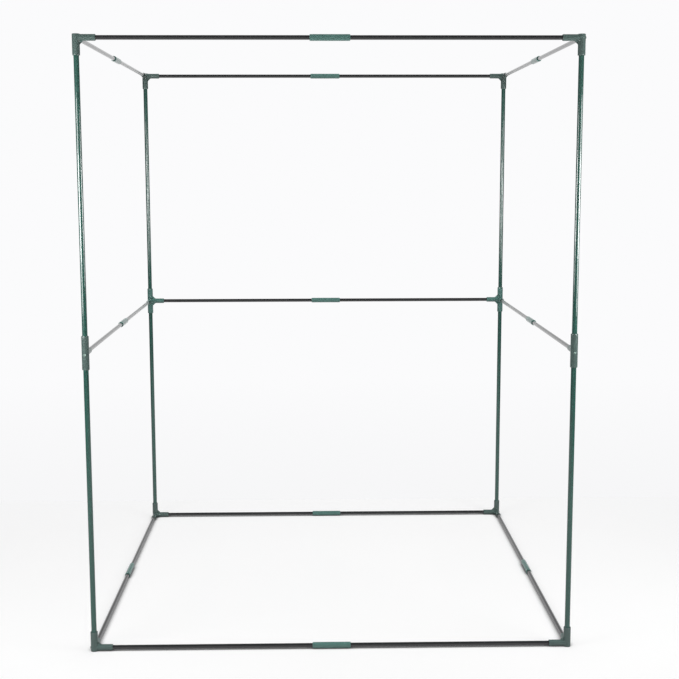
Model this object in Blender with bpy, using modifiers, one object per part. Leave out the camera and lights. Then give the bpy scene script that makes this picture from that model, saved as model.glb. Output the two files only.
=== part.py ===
"""Fruit cage: a push-fit frame of coated steel tubes and moulded plastic connectors.

The plan is square and the frame is two tiers high. Posts run up the four corners in two lengths.
Rails join them at the bottom, the middle and the top, each made of two lengths with a coupling
between them. The front has no middle rail, which leaves a full-height way in.

Metres, +Z up. The origin is on the ground at the centre of the plan, +X is to the right and the
open front faces -Y.
"""

import math

import bmesh
import bpy
from mathutils import Matrix, Vector

# Layout of the frame, from tube axis to tube axis
SPAN_X = 1.430
SPAN_Y = 1.430
TIER_HEIGHT = 0.8975

# Steel tubes
POST_DIAMETER = 0.016
POST_WALL = 0.0006
RAIL_DIAMETER = 0.013
RAIL_WALL = 0.0005

# Sockets of the moulded connectors
FIT_GAP = 0.0003              # tube to socket, all round and at the stop
SOCKET_WALL = 0.0026
POST_SOCKET_DEPTH = 0.039
RAIL_SOCKET_DEPTH = 0.043
CORE_WALL = 0.004             # plastic between a tube's end and the sockets that cross it
MOUTH_TAPER_LENGTH = 0.003
MOUTH_TAPER_DEPTH = 0.0008

# Closed end of a corner, which is also the foot at the bottom
FOOT_HEIGHT = 0.0011          # how far the flat end stands past the rail sockets
FOOT_EDGE_RADIUS = 0.002

# Webs in the angles between two arms
WEB_LEG = 0.010
WEB_THICKNESS = 0.003

# Round moulding mark on the blank side of a connector
MARK_DIAMETER = 0.0066
MARK_HEIGHT = 0.0012
MARK_DROP = 0.005             # below the rail axis, on a middle connector

# Straight couplings
COUPLING_DEPTH = 0.056
COUPLING_STOP = 0.003         # thickness of the wall between its two sockets

# Facets of the round shapes
SIDES = 20
MARK_SIDES = 10
EDGE_STEPS = 2
SMOOTH_ANGLE = math.radians(30.0)
MERGE_DISTANCE = 0.00001

# Sizes that follow from those above
POST_RADIUS = POST_DIAMETER / 2
RAIL_RADIUS = RAIL_DIAMETER / 2
POST_BORE = POST_RADIUS + FIT_GAP
RAIL_BORE = RAIL_RADIUS + FIT_GAP
POST_SOCKET = POST_BORE + SOCKET_WALL
RAIL_SOCKET = RAIL_BORE + SOCKET_WALL
POST_STOP = RAIL_BORE + CORE_WALL
RAIL_STOP = POST_BORE + CORE_WALL
POST_ARM = POST_STOP + POST_SOCKET_DEPTH
RAIL_ARM = RAIL_STOP + RAIL_SOCKET_DEPTH
CORNER_END = RAIL_SOCKET + FOOT_HEIGHT
LEVELS = {
    "bottom": CORNER_END,
    "middle": CORNER_END + TIER_HEIGHT,
    "top": CORNER_END + 2 * TIER_HEIGHT,
}
SIDE_SIGNS = {"left": -1, "right": 1, "front": -1, "back": 1}


def clear_scene():
    """Empty the scene and make the part's collection and one for its tools."""
    for old in list(bpy.data.objects):
        bpy.data.objects.remove(old, do_unlink=True)
    part = bpy.data.collections.new("fruit_cage")
    tools = bpy.data.collections.new("shaping_tools")
    bpy.context.scene.collection.children.link(part)
    bpy.context.scene.collection.children.link(tools)
    return part, tools


def srgb(code):
    """Linear colour of a hex sRGB code, with an alpha of 1."""
    channels = []
    for start in (0, 2, 4):
        value = int(code[start:start + 2], 16) / 255
        if value <= 0.04045:
            channels.append(value / 12.92)
        else:
            channels.append(((value + 0.055) / 1.055) ** 2.4)
    return (*channels, 1.0)


def finish(name, colour, roughness, metallic):
    """A Principled material."""
    material = bpy.data.materials.new(name)
    material.use_nodes = True
    shader = material.node_tree.nodes["Principled BSDF"]
    shader.inputs["Base Color"].default_value = srgb(colour)
    shader.inputs["Roughness"].default_value = roughness
    shader.inputs["Metallic"].default_value = metallic
    return material


def turned(name, profile, closed, collection):
    """A shape turned about Z from (radius, height) points that run down its outer side."""
    mesh = bpy.data.meshes.new(name)
    points = [(radius, 0.0, height) for radius, height in profile]
    edges = [(i, i + 1) for i in range(len(points) - 1)]
    if closed:
        edges.append((len(points) - 1, 0))
    mesh.from_pydata(points, edges, [])
    turned_object = bpy.data.objects.new(name, mesh)
    collection.objects.link(turned_object)
    screw = turned_object.modifiers.new("turn", 'SCREW')
    screw.axis = 'Z'
    screw.steps = SIDES
    screw.render_steps = SIDES
    screw.use_merge_vertices = True
    screw.merge_threshold = MERGE_DISTANCE
    screw.use_smooth_shade = False
    return turned_object


def solid_mesh(name, source):
    """The evaluated mesh of an object, in its own frame, with loose caps welded."""
    depsgraph = bpy.context.evaluated_depsgraph_get()
    mesh = bpy.data.meshes.new_from_object(source.evaluated_get(depsgraph))
    mesh.name = name
    work = bmesh.new()
    work.from_mesh(mesh)
    bmesh.ops.remove_doubles(work, verts=work.verts, dist=MERGE_DISTANCE)
    work.to_mesh(mesh)
    work.free()
    return mesh


def socket_profile(outer, bore, stop, mouth):
    """Profile of a socket arm from its mouth to the centre of the connector."""
    return [
        (0.0, stop),
        (bore, stop),
        (bore, mouth),
        (outer - MOUTH_TAPER_DEPTH, mouth),
        (outer, mouth - MOUTH_TAPER_LENGTH),
        (outer, 0.0),
        (0.0, 0.0),
    ]


def rail_socket(name, tools):
    """One arm that takes a rail, along +Z from the post axis."""
    profile = socket_profile(RAIL_SOCKET, RAIL_BORE, RAIL_STOP, RAIL_ARM)
    return turned(name, profile, False, tools)


def corner_post_socket(name, tools):
    """The arm of a corner that takes a post, with the rounded closed end behind it."""
    profile = socket_profile(POST_SOCKET, POST_BORE, POST_STOP, POST_ARM)[:-2]
    for step in range(EDGE_STEPS + 1):
        angle = math.pi / 2 * step / EDGE_STEPS
        radius = POST_SOCKET - FOOT_EDGE_RADIUS * (1 - math.cos(angle))
        height = FOOT_EDGE_RADIUS * (1 - math.sin(angle)) - CORNER_END
        profile.append((radius, height))
    profile.append((0.0, -CORNER_END))
    return turned(name, profile, False, tools)


def through_post_socket(name, tools):
    """The two opposite arms of a middle connector, which take the lower and the upper post."""
    above = socket_profile(POST_SOCKET, POST_BORE, POST_STOP, POST_ARM)[:-2]
    below = [(radius, -height) for radius, height in reversed(above)]
    return turned(name, above + below, False, tools)


def turn_onto(direction):
    """Rotation that lays local +Z along a direction."""
    return Vector((0, 0, 1)).rotation_difference(Vector(direction)).to_matrix()


def web(name, first, first_radius, second, second_radius, tools):
    """A flat web in the angle between two arms, along the directions first and second."""
    sunk = SOCKET_WALL / 2
    outline = [
        (second_radius - sunk, first_radius - sunk),
        (second_radius + WEB_LEG, first_radius - sunk),
        (second_radius + WEB_LEG, first_radius),
        (second_radius, first_radius + WEB_LEG),
        (second_radius - sunk, first_radius + WEB_LEG),
    ]
    curve = bpy.data.curves.new(name, 'CURVE')
    curve.dimensions = '2D'
    curve.fill_mode = 'BOTH'
    curve.extrude = WEB_THICKNESS / 2
    spline = curve.splines.new('POLY')
    spline.points.add(len(outline) - 1)
    for point, (along_first, along_second) in zip(spline.points, outline):
        point.co = (along_first, along_second, 0.0, 1.0)
    spline.use_cyclic_u = True
    outline_object = bpy.data.objects.new(name, curve)
    tools.objects.link(outline_object)
    plate = bpy.data.objects.new(name, solid_mesh(name, outline_object))
    bpy.data.objects.remove(outline_object)
    tools.objects.link(plate)
    across = Vector(first).cross(Vector(second))
    turn = Matrix((first, second, across)).transposed()
    plate.rotation_euler = turn.to_euler()
    return plate


def moulding_mark(name, drop, tools):
    """The raised round mark on the post socket, on the side away from the +X arm."""
    inner = POST_SOCKET - SOCKET_WALL / 2
    outer = POST_SOCKET + MARK_HEIGHT
    mesh = bpy.data.meshes.new(name)
    work = bmesh.new()
    bmesh.ops.create_cone(work, cap_ends=True, segments=MARK_SIDES, radius1=MARK_DIAMETER / 2,
                          radius2=MARK_DIAMETER / 2, depth=outer - inner)
    work.to_mesh(mesh)
    work.free()
    mark = bpy.data.objects.new(name, mesh)
    tools.objects.link(mark)
    mark.rotation_euler = turn_onto((-1, 0, 0)).to_euler()
    mark.location = (-(inner + outer) / 2, 0.0, -drop)
    return mark


def moulded(name, pieces):
    """Fuse overlapping solids into the one mesh of a moulding, and remove them."""
    body = pieces[0]
    for piece in pieces[1:]:
        fuse = body.modifiers.new("fuse", 'BOOLEAN')
        fuse.operation = 'UNION'
        fuse.object = piece
    bpy.context.view_layer.update()
    mesh = solid_mesh(name, body)
    for piece in pieces:
        bpy.data.objects.remove(piece)
    mesh.shade_smooth()
    mesh.set_sharp_from_angle(angle=SMOOTH_ANGLE)
    return mesh


def connector_mesh(name, rail_arms, post_arms, tools):
    """A moulding with one socket for each rail and post direction, webs between and a mark."""
    if len(post_arms) == 2:
        body = through_post_socket(name, tools)
        drop = MARK_DROP
    else:
        body = corner_post_socket(name, tools)
        drop = 0.0
    pieces = [body]
    for direction in rail_arms:
        arm = rail_socket(name + "_arm", tools)
        arm.rotation_euler = turn_onto(direction).to_euler()
        pieces.append(arm)
    for rail in rail_arms:
        for post in post_arms:
            pieces.append(web(name + "_web", rail, RAIL_SOCKET, post, POST_SOCKET, tools))
    if len(rail_arms) == 2:
        first, second = rail_arms
        pieces.append(web(name + "_web", first, RAIL_SOCKET, second, RAIL_SOCKET, tools))
    pieces.append(moulding_mark(name + "_mark", drop, tools))
    for piece in pieces:
        piece.display_type = 'WIRE'
        piece.hide_render = True
    return moulded(name, pieces)


def coupling_profile():
    """Profile of a straight coupling, centred on its middle wall."""
    half = COUPLING_STOP / 2 + COUPLING_DEPTH
    upper = socket_profile(RAIL_SOCKET, RAIL_BORE, COUPLING_STOP / 2, half)[:-2]
    return upper + [(radius, -height) for radius, height in reversed(upper)]


def tube_profile(diameter, wall, length):
    """Closed profile of a plain cut tube that stands on its lower end."""
    outer = diameter / 2
    inner = outer - wall
    return [(outer, length), (outer, 0.0), (inner, 0.0), (inner, length)]


def place(name, mesh, location, rotation, material, parent, part):
    """Put one named piece of the frame in its place."""
    piece = bpy.data.objects.new(name, mesh)
    part.objects.link(piece)
    piece.location = location
    piece.rotation_euler = rotation.to_euler()
    piece.parent = parent
    if not mesh.materials:
        mesh.materials.append(material)
    return piece


def add_corners(part, tools, plastic, parent):
    """Eight three-way corners: one moulding, turned eight ways."""
    mesh = connector_mesh("corner", [(1, 0, 0), (0, 1, 0)], [(0, 0, 1)], tools)
    for level, up in (("bottom", 1), ("top", -1)):
        for depth in ("front", "back"):
            for side in ("left", "right"):
                across = Vector((-SIDE_SIGNS[side], 0, 0))
                along = Vector((0, -SIDE_SIGNS[depth], 0))
                post = Vector((0, 0, up))
                arms = (across, along)
                if across.cross(along).dot(post) < 0:
                    arms = (along, across)
                turn = Matrix((arms[0], arms[1], post)).transposed()
                spot = (SIDE_SIGNS[side] * SPAN_X / 2, SIDE_SIGNS[depth] * SPAN_Y / 2, LEVELS[level])
                place(f"corner_{level}_{depth}_{side}", mesh, spot, turn, plastic, parent, part)


def add_middle_connectors(part, tools, plastic, parent):
    """Front tees with one rail arm and back four-ways with two, in the middle of the posts."""
    both_ways = [(0, 0, 1), (0, 0, -1)]
    tee = connector_mesh("tee", [(1, 0, 0)], both_ways, tools)
    cross = connector_mesh("cross", [(1, 0, 0), (0, 1, 0)], both_ways, tools)
    quarter_turns = {"left": -1, "right": 2}
    for side in ("left", "right"):
        x = SIDE_SIGNS[side] * SPAN_X / 2
        front = (x, SIDE_SIGNS["front"] * SPAN_Y / 2, LEVELS["middle"])
        back = (x, SIDE_SIGNS["back"] * SPAN_Y / 2, LEVELS["middle"])
        towards_back = Matrix.Rotation(math.pi / 2, 3, 'Z')
        into_corner = Matrix.Rotation(math.pi / 2 * quarter_turns[side], 3, 'Z')
        place(f"tee_front_{side}", tee, front, towards_back, plastic, parent, part)
        place(f"cross_back_{side}", cross, back, into_corner, plastic, parent, part)


def add_posts(part, tools, steel, parent):
    """Two lengths of post at each corner of the plan."""
    length = TIER_HEIGHT - 2 * (POST_STOP + FIT_GAP)
    profile = tube_profile(POST_DIAMETER, POST_WALL, length)
    tube = turned("post", profile, True, tools)
    mesh = moulded("post", [tube])
    upright = Matrix.Identity(3)
    for depth in ("front", "back"):
        for side in ("left", "right"):
            x = SIDE_SIGNS[side] * SPAN_X / 2
            y = SIDE_SIGNS[depth] * SPAN_Y / 2
            for tier, level in (("lower", "bottom"), ("upper", "middle")):
                spot = (x, y, LEVELS[level] + POST_STOP + FIT_GAP)
                place(f"post_{depth}_{side}_{tier}", mesh, spot, upright, steel, parent, part)


def add_rails(part, tools, steel, plastic, parent):
    """Two lengths of rail and a coupling on each side of each level, but not at the front middle."""
    coupling = moulded("coupling", [turned("coupling", coupling_profile(), False, tools)])
    inner_end = COUPLING_STOP / 2 + FIT_GAP
    outer_end = RAIL_STOP + FIT_GAP
    for axis, span, halves, sides in (
        (Vector((1, 0, 0)), SPAN_X, ("left", "right"), ("front", "back")),
        (Vector((0, 1, 0)), SPAN_Y, ("front", "back"), ("left", "right")),
    ):
        across = Vector((axis.y, axis.x, 0))
        offset = SPAN_Y / 2 if axis.x else SPAN_X / 2
        length = span / 2 - outer_end - inner_end
        profile = tube_profile(RAIL_DIAMETER, RAIL_WALL, length)
        mesh = moulded("rail", [turned("rail", profile, True, tools)])
        lie = turn_onto(axis)
        for level, height in LEVELS.items():
            for side in sides:
                if (level, side) == ("middle", "front"):
                    continue
                middle = across * SIDE_SIGNS[side] * offset + Vector((0, 0, height))
                place(f"coupling_{level}_{side}", coupling, middle, lie, plastic, parent, part)
                for half in halves:
                    start = inner_end if SIDE_SIGNS[half] > 0 else -inner_end - length
                    spot = middle + axis * start
                    place(f"rail_{level}_{side}_{half}", mesh, spot, lie, steel, parent, part)


def build():
    """Make the whole fruit cage."""
    part, tools = clear_scene()
    green_steel = finish("green coated steel", "3E5C50", 0.22, 0.0)
    charcoal_steel = finish("charcoal coated steel", "38393A", 0.25, 0.0)
    green_plastic = finish("green moulded plastic", "47685C", 0.48, 0.0)
    parent = bpy.data.objects.new("fruit_cage_origin", None)
    part.objects.link(parent)
    add_corners(part, tools, green_plastic, parent)
    add_middle_connectors(part, tools, green_plastic, parent)
    add_posts(part, tools, green_steel, parent)
    add_rails(part, tools, charcoal_steel, green_plastic, parent)


build()
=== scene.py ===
"""Fruit cage, dressed: coated steel tubes pushed into moulded green plastic connectors.

Metres, +Z up. The origin is on the ground at the middle of the plan, and the open front faces -Y.
"""

import math

import bmesh
import bpy
import numpy as np
from mathutils import Matrix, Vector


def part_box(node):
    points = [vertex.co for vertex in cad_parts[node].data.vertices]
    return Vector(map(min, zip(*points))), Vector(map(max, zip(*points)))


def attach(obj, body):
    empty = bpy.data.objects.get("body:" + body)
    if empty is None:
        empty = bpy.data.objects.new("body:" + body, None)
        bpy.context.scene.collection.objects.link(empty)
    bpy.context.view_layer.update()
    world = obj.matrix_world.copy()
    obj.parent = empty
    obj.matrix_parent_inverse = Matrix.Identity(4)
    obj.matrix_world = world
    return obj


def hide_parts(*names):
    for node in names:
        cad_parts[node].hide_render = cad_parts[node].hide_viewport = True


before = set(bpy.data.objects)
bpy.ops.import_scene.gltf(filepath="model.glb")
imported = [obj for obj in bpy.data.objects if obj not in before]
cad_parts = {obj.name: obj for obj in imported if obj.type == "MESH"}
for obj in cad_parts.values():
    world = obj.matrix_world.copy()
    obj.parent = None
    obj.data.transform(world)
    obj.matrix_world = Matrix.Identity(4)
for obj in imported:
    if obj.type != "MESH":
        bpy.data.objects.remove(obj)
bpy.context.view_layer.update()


# Posts
# Eight lengths of thin welded steel tube, 16 mm across, in a glossy dark green coat of polyester
# powder. They are cut square and pushed by hand into the sockets of the connectors.

SIDES = ("left", "right")
DEPTHS = ("front", "back")
POST_WALL = 0.0006
CUT_EDGE = 0.00012
SEAM_HEIGHT = 0.00006
SEAM_WIDTH = 0.0008
POST_SEAM_TURN = 140.0
TUBE_SIDES = 64
TUBE_ANGLES = np.linspace(0.0, 2 * np.pi, TUBE_SIDES, endpoint=False)
MERGE_DISTANCE = 0.000005
SHARP_ANGLE = math.radians(40.0)
POST_GREEN = "2F5D53"
POST_GREEN_DEEP = "29534A"
POST_ROUGHNESS = 0.12
POST_GLOSS_SKIN = 0.6
POWDER_IOR = 1.52
SKIN_ROUGHNESS = 0.05
DRIFT_SIZE = 0.11
PEEL_SIZE = 0.006
PEEL_DEPTH = 0.0001
PEEL_STRENGTH = 0.3
RUB_WIDTH = 0.004
RUB_LENGTH = 0.065
RUB_RISE = (0.5, 0.75)
RUB_DULLNESS = 0.1


def linear(code):
    """Linear colour, with an alpha of 1, of a hex sRGB code."""
    value = np.array([int(code[i:i + 2], 16) for i in (0, 2, 4)]) / 255
    return (*np.where(value <= 0.04045, value / 12.92, ((value + 0.055) / 1.055) ** 2.4), 1.0)


def add(tree, kind, inputs=(), **settings):
    """Add a node: settings are its properties, and inputs its values or the sockets that feed it."""
    node = tree.nodes.new(kind)
    for key, value in settings.items():
        setattr(node, key, value)
    for socket, value in dict(inputs).items():
        if isinstance(value, bpy.types.NodeSocket):
            tree.links.new(value, node.inputs[socket])
        else:
            node.inputs[socket].default_value = value
    return node


def grid_faces(rows, columns, closed):
    """Quads of a grid of points whose columns wrap round, and whose rows do too if it is closed."""
    row = np.arange(rows if closed else rows - 1)[:, None]
    column = np.arange(columns)[None, :]
    below = (row + 1) % rows
    beside = (column + 1) % columns
    quads = np.stack([row * columns + column, below * columns + column,
                      below * columns + beside, row * columns + beside], axis=-1)
    return quads.reshape(-1, 4)


def turned(profile, angles, closed, ridges, ridge_height, ridge_width):
    """Surface of revolution about Z. Each point is the profile's radius times the cosine and sine
    of an angle, at the profile's height. The outermost radius swells by bell-shaped ridges that
    run along it at equal turns, the first at angle zero."""
    radius, height = np.asarray(profile).T
    outermost = radius > radius.max() - CUT_EDGE / 2
    off_ridge = 2 * radius.max() * np.sin(ridges * angles / 2) / ridges / ridge_width
    swell = ridge_height * np.exp(-off_ridge ** 2)
    full = radius[:, None] + outermost[:, None] * swell
    points = np.stack([full * np.cos(angles), full * np.sin(angles),
                       np.broadcast_to(height[:, None], full.shape)], axis=-1)
    return points.reshape(-1, 3), grid_faces(len(radius), len(angles), closed)


def frame_of(axis):
    """Rows of a right-handed frame whose third row is the axis, so points @ frame lays +Z on it."""
    axis = np.asarray(axis, float)
    side = np.array([0.0, 1.0, 0.0]) if abs(axis[1]) < 0.5 else np.array([1.0, 0.0, 0.0])
    first = np.cross(side, axis)
    return np.array([first, np.cross(axis, first), axis])


def piece(node, points, quads, material):
    """One finished piece in the place of a CAD node: poles and seams closed, shaded smooth."""
    mesh = bpy.data.meshes.new(node + "_surface")
    mesh.from_pydata(points.tolist(), [], quads.tolist())
    work = bmesh.new()
    work.from_mesh(mesh)
    bmesh.ops.remove_doubles(work, verts=work.verts, dist=MERGE_DISTANCE)
    work.to_mesh(mesh)
    work.free()
    mesh.shade_smooth()
    mesh.set_sharp_from_angle(angle=SHARP_ANGLE)
    mesh.materials.append(material)
    made = bpy.data.objects.new(node + "_surface", mesh)
    bpy.context.scene.collection.objects.link(made)
    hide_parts(node)
    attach(made, "root")
    return made


def tube(node, wall, seam_turn, material):
    """A tube in the place of a CAD tube: a turned ring section with softened cut edges and the
    low ridge of its weld seam under the coat."""
    low, high = (np.array(corner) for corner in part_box(node))
    run = int(np.argmax(high - low))
    length = (high - low)[run]
    outer = np.delete(high - low, run).max() / 2 - SEAM_HEIGHT
    inner = outer - wall
    profile = [(outer - CUT_EDGE, length), (outer, length - CUT_EDGE), (outer, CUT_EDGE),
               (outer - CUT_EDGE, 0.0), (inner + CUT_EDGE, 0.0), (inner, CUT_EDGE),
               (inner, length - CUT_EDGE), (inner + CUT_EDGE, length)]
    points, quads = turned(profile, TUBE_ANGLES, True, 1, SEAM_HEIGHT, SEAM_WIDTH)
    turn = math.radians(seam_turn)
    cos, sin = math.cos(turn), math.sin(turn)
    points = points @ np.array([[cos, sin, 0.0], [-sin, cos, 0.0], [0.0, 0.0, 1.0]])
    axis = np.eye(3)[run]
    start = (low + high) / 2 - axis * length / 2
    return piece(node, points @ frame_of(axis) + start, quads, material)


def coated_steel(name, colour, deep_colour, roughness, gloss_skin, along):
    """Polyester powder coat baked on steel: a solid colour under a clear gloss skin of a given
    weight that mirrors the studio. The colour drifts a little every 110 mm or so. The powder
    leaves an orange peel as it flows, 2 mm across on the real tube and drawn 6 mm across so that
    it shows. Handling leaves faint dull rubs along the tube, 4 mm wide and some 65 mm long."""
    material = bpy.data.materials.new(name)
    material.use_nodes = True
    tree = material.node_tree
    shader = tree.nodes["Principled BSDF"]
    place = add(tree, "ShaderNodeTexCoord").outputs["Object"]
    drift = add(tree, "ShaderNodeTexNoise", {"Vector": place, "Scale": 1 / DRIFT_SIZE,
                                             "Detail": 2.0})
    tone = add(tree, "ShaderNodeMix", {"Factor": drift.outputs["Fac"], "A": linear(colour),
                                       "B": linear(deep_colour)}, data_type='RGBA')
    stretch = [1.0, 1.0, 1.0]
    stretch["XYZ".index(along)] = RUB_WIDTH / RUB_LENGTH
    lengthwise = add(tree, "ShaderNodeMapping", {"Vector": place, "Scale": stretch})
    rubs = add(tree, "ShaderNodeTexNoise", {"Vector": lengthwise.outputs["Vector"],
                                            "Scale": 1 / RUB_WIDTH, "Detail": 3.0,
                                            "Roughness": 0.6})
    gloss = add(tree, "ShaderNodeMapRange", {"Value": rubs.outputs["Fac"],
                                             "From Min": RUB_RISE[0], "From Max": RUB_RISE[1],
                                             "To Min": roughness,
                                             "To Max": roughness + RUB_DULLNESS})
    peel = add(tree, "ShaderNodeTexNoise", {"Vector": place, "Scale": 1 / PEEL_SIZE,
                                            "Detail": 1.0})
    skin = add(tree, "ShaderNodeBump", {"Height": peel.outputs["Fac"],
                                        "Strength": PEEL_STRENGTH, "Distance": PEEL_DEPTH})
    tree.links.new(tone.outputs["Result"], shader.inputs["Base Color"])
    tree.links.new(gloss.outputs["Result"], shader.inputs["Roughness"])
    tree.links.new(skin.outputs["Normal"], shader.inputs["Normal"])
    tree.links.new(skin.outputs["Normal"], shader.inputs["Coat Normal"])
    shader.inputs["IOR"].default_value = POWDER_IOR
    shader.inputs["Coat Weight"].default_value = gloss_skin
    shader.inputs["Coat Roughness"].default_value = SKIN_ROUGHNESS
    return material


green_steel = coated_steel("green powder-coated steel", POST_GREEN, POST_GREEN_DEEP,
                           POST_ROUGHNESS, POST_GLOSS_SKIN, "Z")
for depth in DEPTHS:
    for side in SIDES:
        for tier in ("lower", "upper"):
            tube(f"post_{depth}_{side}_{tier}", POST_WALL, POST_SEAM_TURN, green_steel)


# Rails
# Twenty-two lengths of 13 mm steel tube, of the same kind as the posts but coated charcoal. Two
# make up each run, and they meet inside a coupling.

LEVELS = ("bottom", "middle", "top")
RAIL_WALL = 0.0005
RAIL_SEAM_TURN = 200.0
RAIL_CHARCOAL = "303132"
RAIL_CHARCOAL_DEEP = "2B2C2D"
RAIL_ROUGHNESS = 0.12
RAIL_GLOSS_SKIN = 0.55
RUNS = [(level, side, halves) for level in LEVELS
        for side, halves in (("front", SIDES), ("back", SIDES), ("left", DEPTHS), ("right", DEPTHS))
        if (level, side) != ("middle", "front")]

charcoal_steel = {
    SIDES: coated_steel("charcoal powder-coated steel", RAIL_CHARCOAL, RAIL_CHARCOAL_DEEP,
                        RAIL_ROUGHNESS, RAIL_GLOSS_SKIN, "X"),
    DEPTHS: coated_steel("charcoal powder-coated steel, front to back", RAIL_CHARCOAL,
                         RAIL_CHARCOAL_DEEP, RAIL_ROUGHNESS, RAIL_GLOSS_SKIN, "Y"),
}
for level, side, halves in RUNS:
    for half in halves:
        tube(f"rail_{level}_{side}_{half}", RAIL_WALL, RAIL_SEAM_TURN, charcoal_steel[halves])


# Couplings
# Eleven straight sleeves of moulded green plastic join the two halves of each run. A wall in the
# middle stops both tubes, the mouths are eased, and the mould has left a hair line on each side.

FIT_GAP = 0.0003
COUPLING_STOP = 0.003
MOUTH_TAPER_LENGTH = 0.003
MOUTH_TAPER_DEPTH = 0.0008
LIP_EDGE = 0.0003
LIP_STEPS = 7
PARTING_HEIGHT = 0.00012
PARTING_WIDTH = 0.0004
SLEEVE_GREEN = "5C827B"
SLEEVE_GREEN_DEEP = "547972"
SLEEVE_ROUGHNESS = 0.14
PLASTIC_IOR = 1.49
FLOW_SIZE = 0.015
GRAIN_SIZE = 0.0012
GRAIN_DEPTH = 0.0001
GRAIN_STRENGTH = 0.06
GRAIN_ROUGHNESS = (-0.02, 0.03)
RAIL_RADIUS = (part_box("rail_top_front_left")[1][2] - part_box("rail_top_front_left")[0][2]) / 2
SLEEVE_SIDES = 72
SLEEVE_ANGLES = np.linspace(0.0, 2 * np.pi, SLEEVE_SIDES, endpoint=False)


def socket_profile(outer, bore, floor, mouth):
    """Radius and height of a socket: from the middle of its floor, up the bore, over the lip and
    down to the full outer radius. The outer edge of the lip is a quarter of an ellipse."""
    turn = np.radians(np.linspace(90.0, 0.0, LIP_STEPS))
    radius = outer - MOUTH_TAPER_DEPTH * (1 - np.cos(turn))
    height = mouth - MOUTH_TAPER_LENGTH * (1 - np.sin(turn))
    inside = [(0.0, floor), (bore, floor), (bore, mouth - LIP_EDGE), (bore + LIP_EDGE, mouth)]
    return np.concatenate([inside, np.stack([radius, height], axis=-1)])


def moulded_plastic(name, colour, deep_colour, roughness):
    """Polypropylene, injection moulded in a finely spark-eroded mould: an even satin skin that is
    dull face on and catches the light along its length. The grain is 0.2 mm on the real piece,
    and is drawn at 1.2 mm so that it shows. The melt leaves slow pale and dark flow marks about
    15 mm across."""
    material = bpy.data.materials.new(name)
    material.use_nodes = True
    tree = material.node_tree
    shader = tree.nodes["Principled BSDF"]
    place = add(tree, "ShaderNodeTexCoord").outputs["Object"]
    flow = add(tree, "ShaderNodeTexNoise", {"Vector": place, "Scale": 1 / FLOW_SIZE,
                                            "Detail": 3.0, "Distortion": 0.8})
    tone = add(tree, "ShaderNodeMix", {"Factor": flow.outputs["Fac"], "A": linear(colour),
                                       "B": linear(deep_colour)}, data_type='RGBA')
    grain = add(tree, "ShaderNodeTexNoise", {"Vector": place, "Scale": 1 / GRAIN_SIZE,
                                             "Detail": 2.0})
    gloss = add(tree, "ShaderNodeMapRange", {"Value": grain.outputs["Fac"],
                                             "To Min": roughness + GRAIN_ROUGHNESS[0],
                                             "To Max": roughness + GRAIN_ROUGHNESS[1]})
    skin = add(tree, "ShaderNodeBump", {"Height": grain.outputs["Fac"],
                                        "Strength": GRAIN_STRENGTH, "Distance": GRAIN_DEPTH})
    tree.links.new(tone.outputs["Result"], shader.inputs["Base Color"])
    tree.links.new(gloss.outputs["Result"], shader.inputs["Roughness"])
    tree.links.new(skin.outputs["Normal"], shader.inputs["Normal"])
    shader.inputs["IOR"].default_value = PLASTIC_IOR
    return material


def coupling(node, material):
    """A sleeve in the place of a CAD coupling: the socket profile and its mirror image, turned,
    with the two parting lines of its mould."""
    low, high = (np.array(corner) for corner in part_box(node))
    run = int(np.argmax(high - low))
    outer = np.delete(high - low, run).max() / 2 - PARTING_HEIGHT
    upper = socket_profile(outer, RAIL_RADIUS + FIT_GAP, COUPLING_STOP / 2, (high - low)[run] / 2)
    profile = np.concatenate([upper, upper[::-1] * (1, -1)])
    points, quads = turned(profile, SLEEVE_ANGLES, False, 2, PARTING_HEIGHT, PARTING_WIDTH)
    axis = np.eye(3)[run]
    return piece(node, points @ frame_of(axis) + (low + high) / 2, quads, material)


green_plastic = moulded_plastic("green moulded polypropylene", SLEEVE_GREEN, SLEEVE_GREEN_DEEP,
                                SLEEVE_ROUGHNESS)
for level, side, halves in RUNS:
    coupling(f"coupling_{level}_{side}", green_plastic)


# Corner connectors
# Eight three-way mouldings, of the same kind of plastic in a greyer green, hold a post and two
# rails. Thin webs stiffen the angles between the arms, and at the bottom the closed end is the
# foot. One blank side has a round mark, a little proud, where the melt entered the mould.

SOCKET_WALL = 0.0026
CORE_WALL = 0.004
FOOT_EDGE = 0.002
WEB_LEG = 0.010
WEB_THICKNESS = 0.003
WEB_EDGE = 0.0005
ARM_FILLET = 0.0025
WEB_FILLET = 0.0016
MARK_RADIUS = 0.0033
MARK_EDGE = 0.0004
FAR = 0.2
HALVINGS = 36
ARM_SAMPLE = "corner_bottom_front_left"
POST_SAMPLE = "post_front_left_lower"
X, Y, Z = np.eye(3)

post_low, post_high = (np.array(corner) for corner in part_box(POST_SAMPLE))
arm_low, arm_high = (np.array(corner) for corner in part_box(ARM_SAMPLE))
rail_low, rail_high = (np.array(corner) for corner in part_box("rail_bottom_front_left"))
POST_RADIUS = (post_high - post_low)[0] / 2
POST_SOCKET = POST_RADIUS + FIT_GAP + SOCKET_WALL
RAIL_SOCKET = RAIL_RADIUS + FIT_GAP + SOCKET_WALL
crossing = np.array([*(post_low + post_high)[:2] / 2, (rail_low + rail_high)[2] / 2])
RAIL_ARM, _, POST_ARM = arm_high - crossing
MARK_REACH = (crossing - arm_low)[0]
FOOT_REACH = (crossing - arm_low)[2]
RAIL_STOP = POST_RADIUS + FIT_GAP + CORE_WALL
POST_STOP = RAIL_RADIUS + FIT_GAP + CORE_WALL


def full_turn(offsets):
    """Angles of a full turn that crowd towards its four quarter marks: the offsets from one mark,
    and the same offsets back from the next."""
    quarter = np.concatenate([offsets, 90.0 - offsets[-2:0:-1]])
    return np.radians((90.0 * np.arange(4)[:, None] + quarter).ravel())


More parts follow.
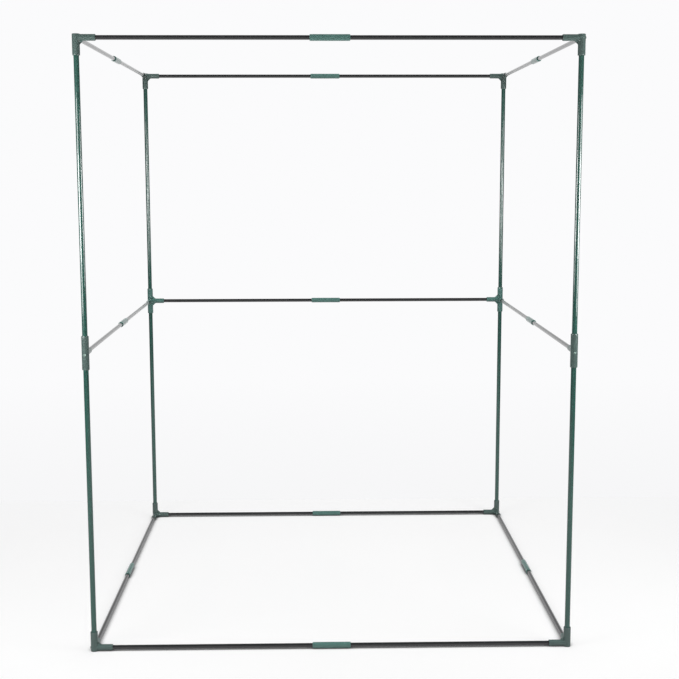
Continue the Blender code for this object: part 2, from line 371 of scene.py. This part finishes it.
CONNECTOR_GREEN = "586B67"
CONNECTOR_GREEN_DEEP = "50635F"
CONNECTOR_ROUGHNESS = 0.2
ARM_OFFSETS = np.array([0, 2.2, 4, 5.5, 7, 8.5, 10, 13, 17, 22, 28, 34, 40, 45.0])
ARM_ANGLES = full_turn(ARM_OFFSETS)
SQUARE_FROM = 0.34
MARK_FACE_SPREADS = [0.0, 0.12, 0.2, 0.25]
MARK_EDGE_SHARES = np.linspace(-0.15, 1.15, 5)
MARK_EDGE_SPREADS = MARK_RADIUS / MARK_REACH + MARK_EDGE / MARK_REACH * MARK_EDGE_SHARES
BLANK_SPREADS = np.concatenate([MARK_FACE_SPREADS, MARK_EDGE_SPREADS,
                                np.linspace(SQUARE_FROM, 1.0, 19)])
SLEEVE_START_SHARE = 1.08
SLEEVE_END_SPREAD = 0.4
SLEEVE_RINGS = 5
ROOT_SPREADS = np.linspace(0.43, 1.0, 20)


def rod(points, axis, radius, low, high, edge):
    """Signed distance to a round rod along an axis, between two heights, with rounded end edges:
    the length of the overshoots past the side and past the ends, less the edge's radius."""
    along = points @ axis
    off = np.linalg.norm(points - along[..., None] * axis, axis=-1)
    past_side = off - radius + edge
    past_end = np.maximum(along - high, low - along) + edge
    outside = np.hypot(np.maximum(past_side, 0), np.maximum(past_end, 0))
    return outside + np.minimum(np.maximum(past_side, past_end), 0) - edge


def web(points, first, second, reach):
    """Signed distance to the flat web between two arms, a plate with rounded edges whose slanted
    rim is where the distances run along the two arms add up to the reach."""
    run_first, run_second = points @ first, points @ second
    past_rim = (run_first + run_second - reach) / math.sqrt(2) + WEB_EDGE
    past_face = np.abs(points @ np.cross(first, second)) - WEB_THICKNESS / 2 + WEB_EDGE
    past_back = -np.minimum(run_first, run_second) + WEB_EDGE
    past = np.stack([past_rim, past_face, past_back])
    outside = np.linalg.norm(np.maximum(past, 0), axis=0)
    return outside + np.minimum(past.max(axis=0), 0) - WEB_EDGE


def soft_union(first, second, fillet):
    """Signed distance to two solids with a fillet between them: the smaller of the two distances,
    less a parabola that is deepest where both are the same."""
    share = np.clip(0.5 + 0.5 * (second - first) / fillet, 0, 1)
    return second + (first - second) * share - fillet * share * (1 - share)


def outside_of(rails, posts, parting):
    """The signed distance to the plain outside of a connector, as a function of points about the
    crossing of its axes. The parting line of its mould is a hair ridge in the parting plane."""
    pairs = [(rail, post, RAIL_SOCKET + POST_SOCKET + WEB_LEG) for rail in rails for post in posts]
    if len(rails) == 2:
        pairs.append((*rails, 2 * RAIL_SOCKET + WEB_LEG))
    low = -FAR if len(posts) == 2 else -FOOT_REACH

    def distance(points):
        solid = rod(points, Z, POST_SOCKET, low, FAR, FOOT_EDGE)
        for rail in rails:
            solid = soft_union(solid, rod(points, rail, RAIL_SOCKET, 0.0, FAR, 0.0), ARM_FILLET)
        for first, second, reach in pairs:
            solid = soft_union(solid, web(points, first, second, reach), WEB_FILLET)
        solid = solid - PARTING_HEIGHT * np.exp(-(points @ parting / PARTING_WIDTH) ** 2)
        return np.maximum(solid, low - points[..., 2])

    return distance


def skin_along(directions, distance):
    """Where each direction leaves a solid that the crossing sees all of: the span from inside to
    outside is halved until it closes on the skin."""
    near = np.zeros(directions.shape[:-1])
    far = np.full(directions.shape[:-1], FAR / 2)
    for _ in range(HALVINGS):
        middle = (near + far) / 2
        inside = distance(directions * middle[..., None]) < 0
        near = np.where(inside, middle, near)
        far = np.where(inside, far, middle)
    return directions * far[..., None]


def sector(axis, spreads, shift, distance):
    """One of the six sectors about a connector's crossing, as rings of directions and the points
    where they meet its skin. A ring is a circle of directions of a given spread off the axis.
    From the first third outwards it widens towards a square, so that the last rings of
    neighbours meet edge to edge, and its middle moves from the shift back to the axis."""
    side, up, axis = frame_of(axis)
    cos, sin = np.cos(ARM_ANGLES), np.sin(ARM_ANGLES)
    blend = np.clip((spreads - SQUARE_FROM) / (1 - SQUARE_FROM), 0, 1)[:, None]
    width = spreads[:, None] * (1 + blend * (1 / np.maximum(np.abs(cos), np.abs(sin)) - 1))
    directions = (axis + (1 - blend)[..., None] * shift
                  + (width * cos)[..., None] * side + (width * sin)[..., None] * up)
    return directions, skin_along(directions, distance)


def arm_sector(axis, outer, bore, floor, mouth, distance):
    """The sector of an arm: its socket and lip as a turned profile, and then its skin."""
    side, up, axis = frame_of(axis)
    circle = np.cos(ARM_ANGLES)[:, None] * side + np.sin(ARM_ANGLES)[:, None] * up
    profile = socket_profile(outer, bore, floor, mouth)
    rings = profile[:, 0, None, None] * circle + profile[:, 1, None, None] * axis
    start = SLEEVE_START_SHARE * outer / (mouth - MOUTH_TAPER_LENGTH)
    spreads = np.concatenate([np.linspace(start, SLEEVE_END_SPREAD, SLEEVE_RINGS), ROOT_SPREADS])
    skin = sector(axis, spreads, 0 * axis, distance)[1]
    return np.concatenate([rings, skin])


def blank_sector(axis, distance):
    """The sector of a blank side or a closed end."""
    return sector(axis, BLANK_SPREADS, 0 * axis, distance)[1]


def marked_sector(axis, distance, drop):
    """The sector of the blank side with the moulding mark, a flat disc that stands proud: within
    its outline the skin is pushed out, along the same directions, to the plane of its face."""
    shift = -drop / MARK_REACH * Z
    directions, skin = sector(axis, BLANK_SPREADS, shift, distance)
    face = directions * MARK_REACH
    off = np.linalg.norm(face - MARK_REACH * (axis + shift), axis=-1)
    raised = np.clip((MARK_RADIUS + MARK_EDGE - off) / MARK_EDGE, 0, 1)[..., None]
    return skin + (face - skin) * raised


def connector(rails, posts, parting, drop):
    """Points and quads of a connector about the crossing of its axes, from its six sectors."""
    distance = outside_of(rails, posts, parting)
    points, quads, count = [], [], 0
    for axis in (X, -X, Y, -Y, Z, -Z):
        if any(np.array_equal(axis, rail) for rail in rails):
            rings = arm_sector(axis, RAIL_SOCKET, RAIL_RADIUS + FIT_GAP, RAIL_STOP, RAIL_ARM,
                               distance)
        elif any(np.array_equal(axis, post) for post in posts):
            rings = arm_sector(axis, POST_SOCKET, POST_RADIUS + FIT_GAP, POST_STOP, POST_ARM,
                               distance)
        elif np.array_equal(axis, -X):
            rings = marked_sector(axis, distance, drop)
        else:
            rings = blank_sector(axis, distance)
        points.append(rings.reshape(-1, 3))
        quads.append(grid_faces(*rings.shape[:2], False) + count)
        count += len(points[-1])
    return np.concatenate(points), np.concatenate(quads)


def seat(node, shape, spot, first, post, plastic):
    """A connector in the place of a CAD node, with its first arm and its post arm laid along the
    directions given."""
    points, quads = shape
    turn = np.array([first, np.cross(post, first), post])
    return piece(node, points @ turn + spot, quads, plastic)


grey_green_plastic = moulded_plastic("grey-green moulded polypropylene", CONNECTOR_GREEN,
                                     CONNECTOR_GREEN_DEEP, CONNECTOR_ROUGHNESS)
corner = connector([X, Y], [Z], Z, 0.0)
signs = {"left": -1, "right": 1, "front": -1, "back": 1, "bottom": 1, "top": -1}
for level in ("bottom", "top"):
    for depth in DEPTHS:
        for side in SIDES:
            post_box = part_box(f"post_{depth}_{side}_lower")
            rail_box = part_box(f"rail_{level}_{side}_{depth}")
            spot = (np.array(post_box[0]) + np.array(post_box[1])) / 2
            spot[2] = (rail_box[0][2] + rail_box[1][2]) / 2
            across, along, post = -signs[side] * X, -signs[depth] * Y, signs[level] * Z
            first = across if np.array_equal(np.cross(post, across), along) else along
            seat(f"corner_{level}_{depth}_{side}", corner, spot, first, post,
                 grey_green_plastic)


# Middle connectors
# Tees at the front take two posts and a rail, in the corners' plastic. Four-ways at the back take
# two posts and two rails, in the couplings' greener plastic. They are moulded like the corners,
# but their round mark is a little below the rails, and its face is coloured pale as a painted
# highlight of the light it catches.

MARK_DROP = 0.005
# Painted highlight: the mark's face is coloured pale for the light its raised face catches.
MARK_HIGHLIGHT_GREEN = "9DB6AD"
MARK_HIGHLIGHT_GREEN_DEEP = "92AAA1"
MARK_HIGHLIGHT_ROUGHNESS = 0.3


def paint_mark_highlight(made, middle, plastic):
    """Give a connector's mark, the polygons within its radius of its middle, a pale plastic that
    paints the highlight its raised face catches.
    """
    made.data.materials.append(plastic)
    centres = np.empty(3 * len(made.data.polygons))
    made.data.polygons.foreach_get("center", centres)
    off = np.linalg.norm(centres.reshape(-1, 3) - middle, axis=1)
    made.data.polygons.foreach_set("material_index", (off < MARK_RADIUS).astype(int))


mark_highlight_plastic = moulded_plastic("painted highlight on the moulding mark", MARK_HIGHLIGHT_GREEN, MARK_HIGHLIGHT_GREEN_DEEP,
                               MARK_HIGHLIGHT_ROUGHNESS)
tee = connector([X], [Z, -Z], Y, MARK_DROP)
cross = connector([X, Y], [Z, -Z], Y, MARK_DROP)
for side, first_arm in (("left", -Y), ("right", -X)):
    rail_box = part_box(f"rail_middle_{side}_back")
    level = (rail_box[0][2] + rail_box[1][2]) / 2
    for depth, node, shape, first, plastic in (
            ("front", f"tee_front_{side}", tee, Y, grey_green_plastic),
            ("back", f"cross_back_{side}", cross, first_arm, green_plastic)):
        post_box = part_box(f"post_{depth}_{side}_lower")
        spot = (np.array(post_box[0]) + np.array(post_box[1])) / 2
        spot[2] = level
        made = seat(node, shape, spot, first, Z, plastic)
        # The mark's face gets its painted highlight.
        paint_mark_highlight(made, spot - MARK_REACH * first - MARK_DROP * Z, mark_highlight_plastic)


# Floor and backdrop
# A pale painted floor that meets a wall painted almost the same, a step behind the frame. It
# keeps the frame's soft shadow from the lamps. The dark line close under each piece is painted
# shade, drawn from how closed in the floor is there and leant to lie more behind each tube than
# in front. The floor is shown nearly white, as a bright studio is. The gloss sees it pale about
# the frame and dim to the sides, with the same painted shade close under each piece.
# A value of two pairs is a slope: what is measured and the value there, at each of its ends.

FLOOR_HALF = 40.0
WALL_LINE = 0.97
FLOOR_PAINT = "F4F4F3"
STUDIO_WHITE = "FBFBFC"
LIT_SHARE = ((1.2, 0.53), (2.4, 0.0))
FLOOR_GLOW = ((1.2, 0.6), (2.46, 0.97))
FLOOR_FALL = ((-0.9, -0.075), (0.97, 0.01))
FALL_SHARE = ((1.8, 1.0), (2.5, 0.0))
WALL_GLOW = ((0.97, 0.96), (4.0, 1.0))
# Painted shade close under each piece: how closed in the floor is within this reach, about a normal
# leant to the front.
CONTACT_REACH = 0.03
CONTACT_LEAN = math.radians(37.0)
CONTACT_SHADE = ((0.45, 0.12), (0.85, 1.0))
MIRRORED_SHADE = ((0.4, 0.0), (0.97, 1.0))
BOUNCE_SHARE = 0.6
SWEEP_SIDE = ((2.0, 1.0), (3.2, 0.15))
SWEEP_FRONT = ((-4.5, 0.35), (-1.6, 0.8))
SWEEP_BACK = ((2.0, 0.0), (4.0, 0.95))

corners = np.array([(-1, -1, 0), (1, -1, 0), (1, 1, 0), (-1, 1, 0)]) * FLOOR_HALF
floor_mesh = bpy.data.meshes.new("studio_floor")
floor_mesh.from_pydata(corners.tolist(), [], [(0, 1, 2, 3)])
floor = bpy.data.objects.new("studio_floor", floor_mesh)
bpy.context.scene.collection.objects.link(floor)


def slope(tree, value, ends):
    """A value that climbs or falls evenly between two ends, and is level past them."""
    (low, first), (high, last) = ends
    return add(tree, "ShaderNodeMapRange", {"Value": value, "From Min": low, "From Max": high,
                                            "To Min": first, "To Max": last}).outputs["Result"]


def reckon(tree, operation, first, second=0.0):
    """The result of one sum on two values."""
    return add(tree, "ShaderNodeMath", {0: first, 1: second}, operation=operation).outputs["Value"]


def choose(tree, factor, first, second):
    """The first of two values where the factor is 0, and the second where it is 1."""
    return add(tree, "ShaderNodeMix", {"Factor": factor, "A": first, "B": second},
               data_type='FLOAT').outputs["Result"]


paint = bpy.data.materials.new("matt floor paint")
paint.use_nodes = True
tree = paint.node_tree
tree.nodes.clear()
rays = add(tree, "ShaderNodeLightPath").outputs
ground = add(tree, "ShaderNodeTexCoord").outputs
place = ground["Object"]
across, depth, _ = add(tree, "ShaderNodeSeparateXYZ", {"Vector": place}).outputs
away = add(tree, "ShaderNodeVectorMath", {0: place}, operation='LENGTH').outputs["Value"]
beyond = reckon(tree, 'GREATER_THAN', depth, WALL_LINE)
# Painted shade: ambient occlusion about a normal leant to the front darkens the floor close under
# each piece.
lean = add(tree, "ShaderNodeMapping", {"Vector": ground["Normal"],
                                       "Rotation": (CONTACT_LEAN, 0.0, 0.0)},
           vector_type='VECTOR').outputs["Vector"]
painted_contact_shade = add(tree, "ShaderNodeAmbientOcclusion", {"Distance": CONTACT_REACH,
                                                    "Normal": lean}).outputs["AO"]
painted_shade_in_gloss = slope(tree, painted_contact_shade, MIRRORED_SHADE)
painted_contact_shade = slope(tree, painted_contact_shade, CONTACT_SHADE)
fall = reckon(tree, 'MULTIPLY', slope(tree, depth, FLOOR_FALL), slope(tree, away, FALL_SHARE))
floor_glow = reckon(tree, 'ADD', slope(tree, away, FLOOR_GLOW), fall)
# The camera sees the floor's glow darkened by the painted shade.
shown = choose(tree, beyond, reckon(tree, 'MULTIPLY', floor_glow, painted_contact_shade),
               slope(tree, depth, WALL_GLOW))
mirrored = reckon(tree, 'MULTIPLY', slope(tree, reckon(tree, 'ABSOLUTE', across), SWEEP_SIDE),
                  slope(tree, depth, SWEEP_FRONT))
# The floor seen in the gloss is darkened by the painted shade close under each piece.
mirrored = reckon(tree, 'MULTIPLY', mirrored, painted_shade_in_gloss)
mirrored = reckon(tree, 'MAXIMUM', mirrored, slope(tree, depth, SWEEP_BACK))
own_light = reckon(tree, 'ADD', reckon(tree, 'MULTIPLY', rays["Is Camera Ray"], shown),
                   reckon(tree, 'MULTIPLY', rays["Is Glossy Ray"], mirrored))
lit = choose(tree, beyond, slope(tree, away, LIT_SHARE), 0.0)
# The lamp-lit share seen by the camera is darkened by the same painted shade.
lit = reckon(tree, 'MULTIPLY', lit, painted_contact_shade)
bounced = choose(tree, rays["Is Glossy Ray"], BOUNCE_SHARE, 0.0)
lit = choose(tree, rays["Is Camera Ray"], bounced, lit)
matt = add(tree, "ShaderNodeBsdfDiffuse", {"Color": linear(FLOOR_PAINT)})
shade = add(tree, "ShaderNodeMixShader", {0: lit, 2: matt.outputs["BSDF"]})
glow = add(tree, "ShaderNodeEmission", {"Color": linear(STUDIO_WHITE), "Strength": own_light})
both = add(tree, "ShaderNodeAddShader", {0: shade.outputs["Shader"], 1: glow.outputs["Emission"]})
add(tree, "ShaderNodeOutputMaterial", {"Surface": both.outputs["Shader"]})
floor_mesh.materials.append(paint)


# Light
# Two soft boxes with a hot middle stand 1.3 m from the front posts, one to each side, and are the
# long highlights on the upper posts. Wide soft lamps fill in from high over the frame, from
# behind the camera and from the back. The gloss sees a studio that is white behind the frame,
# dimmer in front and dark to the sides and overhead.

BOX_SPOTS = {"left": (-1.573, -1.692, 1.29), "right": (1.826, -1.39, 1.29)}
BOX_WIDTH = 0.85
BOX_HEIGHT = 0.98
BOX_POWER = 21.5
CORE_WIDTH = 0.42
CORE_POWER = 13.0
CORE_STEP = 0.02
TOP_SPOT = (0.0, 0.0, 6.0)
TOP_WIDTH = 5.0
TOP_POWER = 220.0
FILL_SPOTS = {"front": (0.0, -6.0, 1.6), "back": (0.0, 6.0, 1.6)}
FILL_WIDTH = 3.0
FILL_HEIGHT = 2.0
FILL_POWER = 45.0
WORLD_LIGHT = 0.06
BACK_LIGHT = ((0.8, 0.15), (0.92, 0.96))
FRONT_LIGHT = ((-0.9, 0.4), (-0.5, 0.0))
OVERHEAD_LIGHT = ((0.12, 1.0), (0.45, 0.3))


def lamp(name, spot, width, height, power, towards):
    """A rectangular area lamp that faces a given way and is hidden from the camera."""
    light = bpy.data.lights.new(name, 'AREA')
    light.shape = 'RECTANGLE'
    light.size = width
    light.size_y = height
    light.energy = power
    made = bpy.data.objects.new(name, light)
    made.rotation_euler = Matrix(frame_of(-np.array(towards)).T.tolist()).to_euler()
    made.location = spot
    made.visible_camera = False
    bpy.context.scene.collection.objects.link(made)
    return made


for side, spot in BOX_SPOTS.items():
    towards = np.array([-spot[0], -spot[1], 0.0]) / math.hypot(spot[0], spot[1])
    lamp(f"{side}_soft_box", spot, BOX_WIDTH, BOX_HEIGHT, BOX_POWER, towards)
    core = lamp(f"{side}_hot_middle", spot + CORE_STEP * towards, CORE_WIDTH, BOX_HEIGHT,
                CORE_POWER, towards)
    core.visible_diffuse = False
lamp("top_lamp", TOP_SPOT, TOP_WIDTH, TOP_WIDTH, TOP_POWER, -Z).visible_glossy = False
for side, spot in FILL_SPOTS.items():
    fill = lamp(f"{side}_fill", spot, FILL_WIDTH, FILL_HEIGHT, FILL_POWER, -np.sign(spot[1]) * Y)
    fill.visible_glossy = False

world = bpy.data.worlds.new("studio_air")
world.use_nodes = True
tree = world.node_tree
tree.nodes.clear()
rays = add(tree, "ShaderNodeLightPath").outputs
heading = add(tree, "ShaderNodeTexCoord").outputs["Generated"]
_, depth, height = add(tree, "ShaderNodeSeparateXYZ", {"Vector": heading}).outputs
around = reckon(tree, 'MAXIMUM', slope(tree, depth, BACK_LIGHT), slope(tree, depth, FRONT_LIGHT))
mirrored = reckon(tree, 'MULTIPLY', around, slope(tree, height, OVERHEAD_LIGHT))
strength = choose(tree, rays["Is Camera Ray"],
                  choose(tree, rays["Is Glossy Ray"], WORLD_LIGHT, mirrored), 1.0)
air = add(tree, "ShaderNodeBackground", {"Color": linear(STUDIO_WHITE), "Strength": strength})
add(tree, "ShaderNodeOutputWorld", {"Surface": air.outputs["Background"]})
bpy.context.scene.world = world


# Camera
# It stands 3.5 m from the open front, 5 cm left of its middle and 1.43 m up, and is turned a
# little to the right and tipped down.

SENSOR = 36.0
LENS = 64.51
CAMERA_SPOT = np.array([-0.0499, -4.2361, 1.4349])
YAW, PITCH, ROLL = (math.radians(angle) for angle in (1.2267, -7.9326, -0.1082))

ahead = np.array([math.sin(YAW) * math.cos(PITCH), math.cos(YAW) * math.cos(PITCH),
                  math.sin(PITCH)])
level_right = np.array([math.cos(YAW), -math.sin(YAW), 0.0])
level_up = np.cross(level_right, ahead)
right = math.cos(ROLL) * level_right + math.sin(ROLL) * level_up
above = -math.sin(ROLL) * level_right + math.cos(ROLL) * level_up
lens = bpy.data.cameras.new("camera")
lens.sensor_width = SENSOR
lens.lens = LENS
camera = bpy.data.objects.new("camera", lens)
camera.rotation_euler = Matrix(np.array([right, above, -ahead]).T.tolist()).to_euler()
camera.location = CAMERA_SPOT
bpy.context.scene.collection.objects.link(camera)
bpy.context.scene.camera = camera
bpy.context.scene.view_settings.view_transform = 'Standard'
